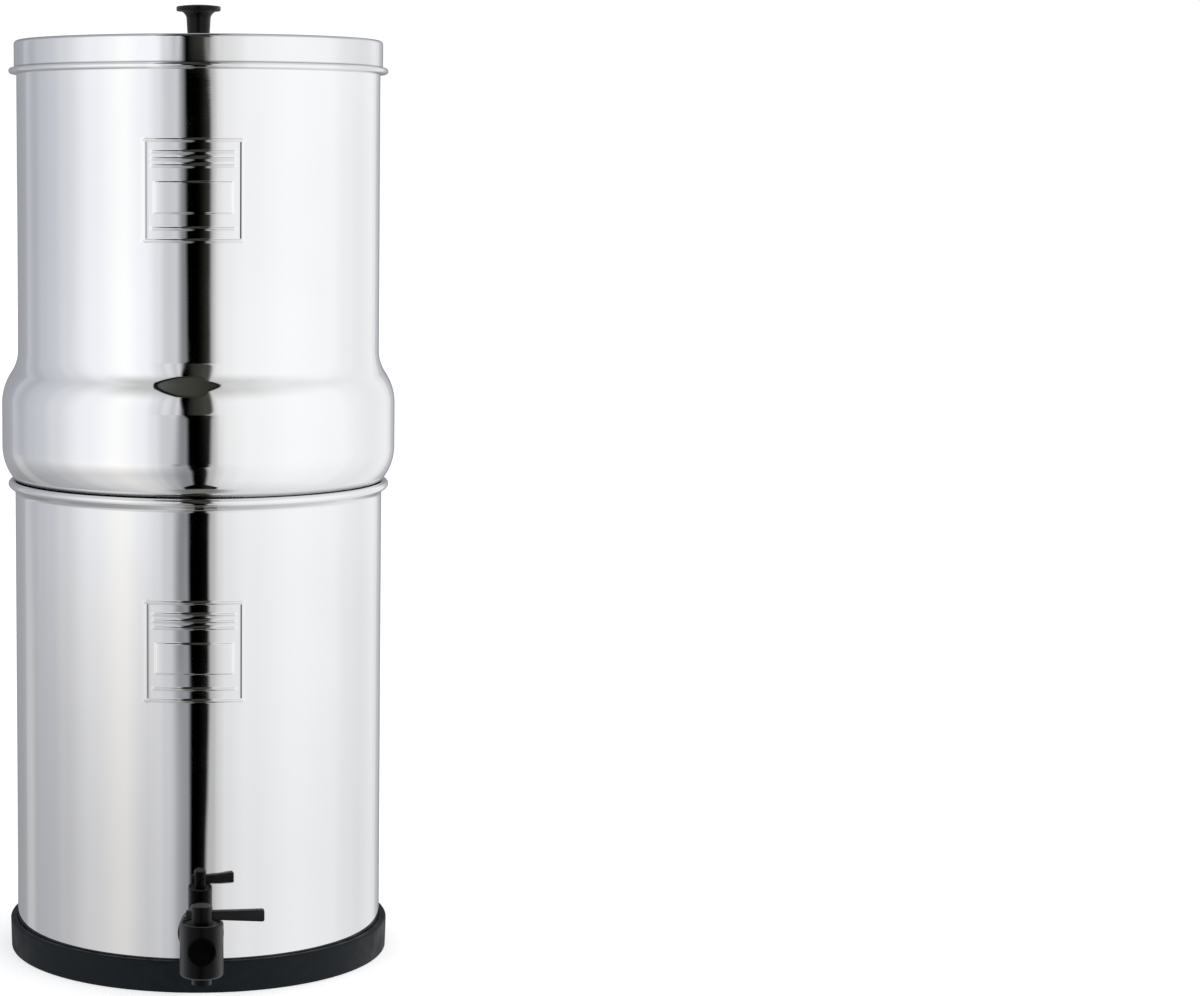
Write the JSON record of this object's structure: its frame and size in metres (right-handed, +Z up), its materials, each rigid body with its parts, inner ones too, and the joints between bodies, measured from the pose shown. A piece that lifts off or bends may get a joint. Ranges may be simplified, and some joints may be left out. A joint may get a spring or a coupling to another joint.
{
  "type": "gravity water filter with tap",
  "caption": "Countertop gravity water filter: two stacked polished steel chambers with a lid and knob, ceramic filter candles inside, a base ring and a small quarter-turn lever tap.",
  "frame": {"origin": "centre of the base ring's underside, on the floor and on the axis of the chambers", "axes": "+Z up along the axis of the chambers, -Y to the front where the tap is, +X to the right, the way the closed lever points"},
  "size_m": [0.2274, 0.273, 0.548],
  "materials": {
    "black_rubber": "satin moulded",
    "polished_steel_lower": "mirror-polished stainless steel",
    "tap_plastic": "semi-gloss moulded",
    "tap_cap_plastic": "gloss moulded",
    "seal_rubber": "matte",
    "lever_plastic": "fine-grained moulded",
    "polished_steel_upper": "mirror-polished stainless steel",
    "ceramic": "porous unglazed",
    "carbon": "pressed carbon block",
    "white_plastic": "moulded",
    "clear_silicone": "translucent silicone",
    "polished_steel_lid": "mirror-polished stainless steel",
    "knob_plastic": "satin moulded",
    "screw_steel": "plain"
  },
  "bodies": {
    "lower": {"base_ring": "black_rubber", "lower_chamber": "polished_steel_lower", "tap_body": "tap_plastic", "tap_front_cap": "tap_cap_plastic", "tap_outer_washer": "seal_rubber", "tap_inner_washer": "seal_rubber", "tap_back_nut": "tap_plastic", "tap_retaining_ring": "tap_plastic"},
    "tap_valve": {"tap_plug": "tap_plastic", "tap_plug_seals": "seal_rubber", "tap_lever": "lever_plastic"},
    "upper": {"upper_chamber": "polished_steel_upper", "candle_shells": "ceramic", "candle_cores": "carbon", "candle_mounts": "white_plastic", "candle_washers": "clear_silicone", "candle_wing_nuts": "white_plastic"},
    "lid_top": {"lid": "polished_steel_lid", "lid_knob": "knob_plastic", "lid_knob_screw": "screw_steel", "lid_knob_washer": "screw_steel"}
  },
  "joints": [
    {"name": "tap_turn", "type": "hinge", "parent": "lower", "child": "tap_valve", "pos_m": [0, -0.1463, 0.0345], "axis": [0, 0, 1], "range_deg": [-90, 0]},
    {"name": "upper_lift", "type": "slide", "parent": "lower", "child": "upper", "axis": [0, 0, 1], "range_m": [0, 0.15]},
    {"name": "lid_lift", "type": "slide", "parent": "upper", "child": "lid_top", "axis": [0, 0, 1], "range_m": [0, 0.1]}
  ]
}
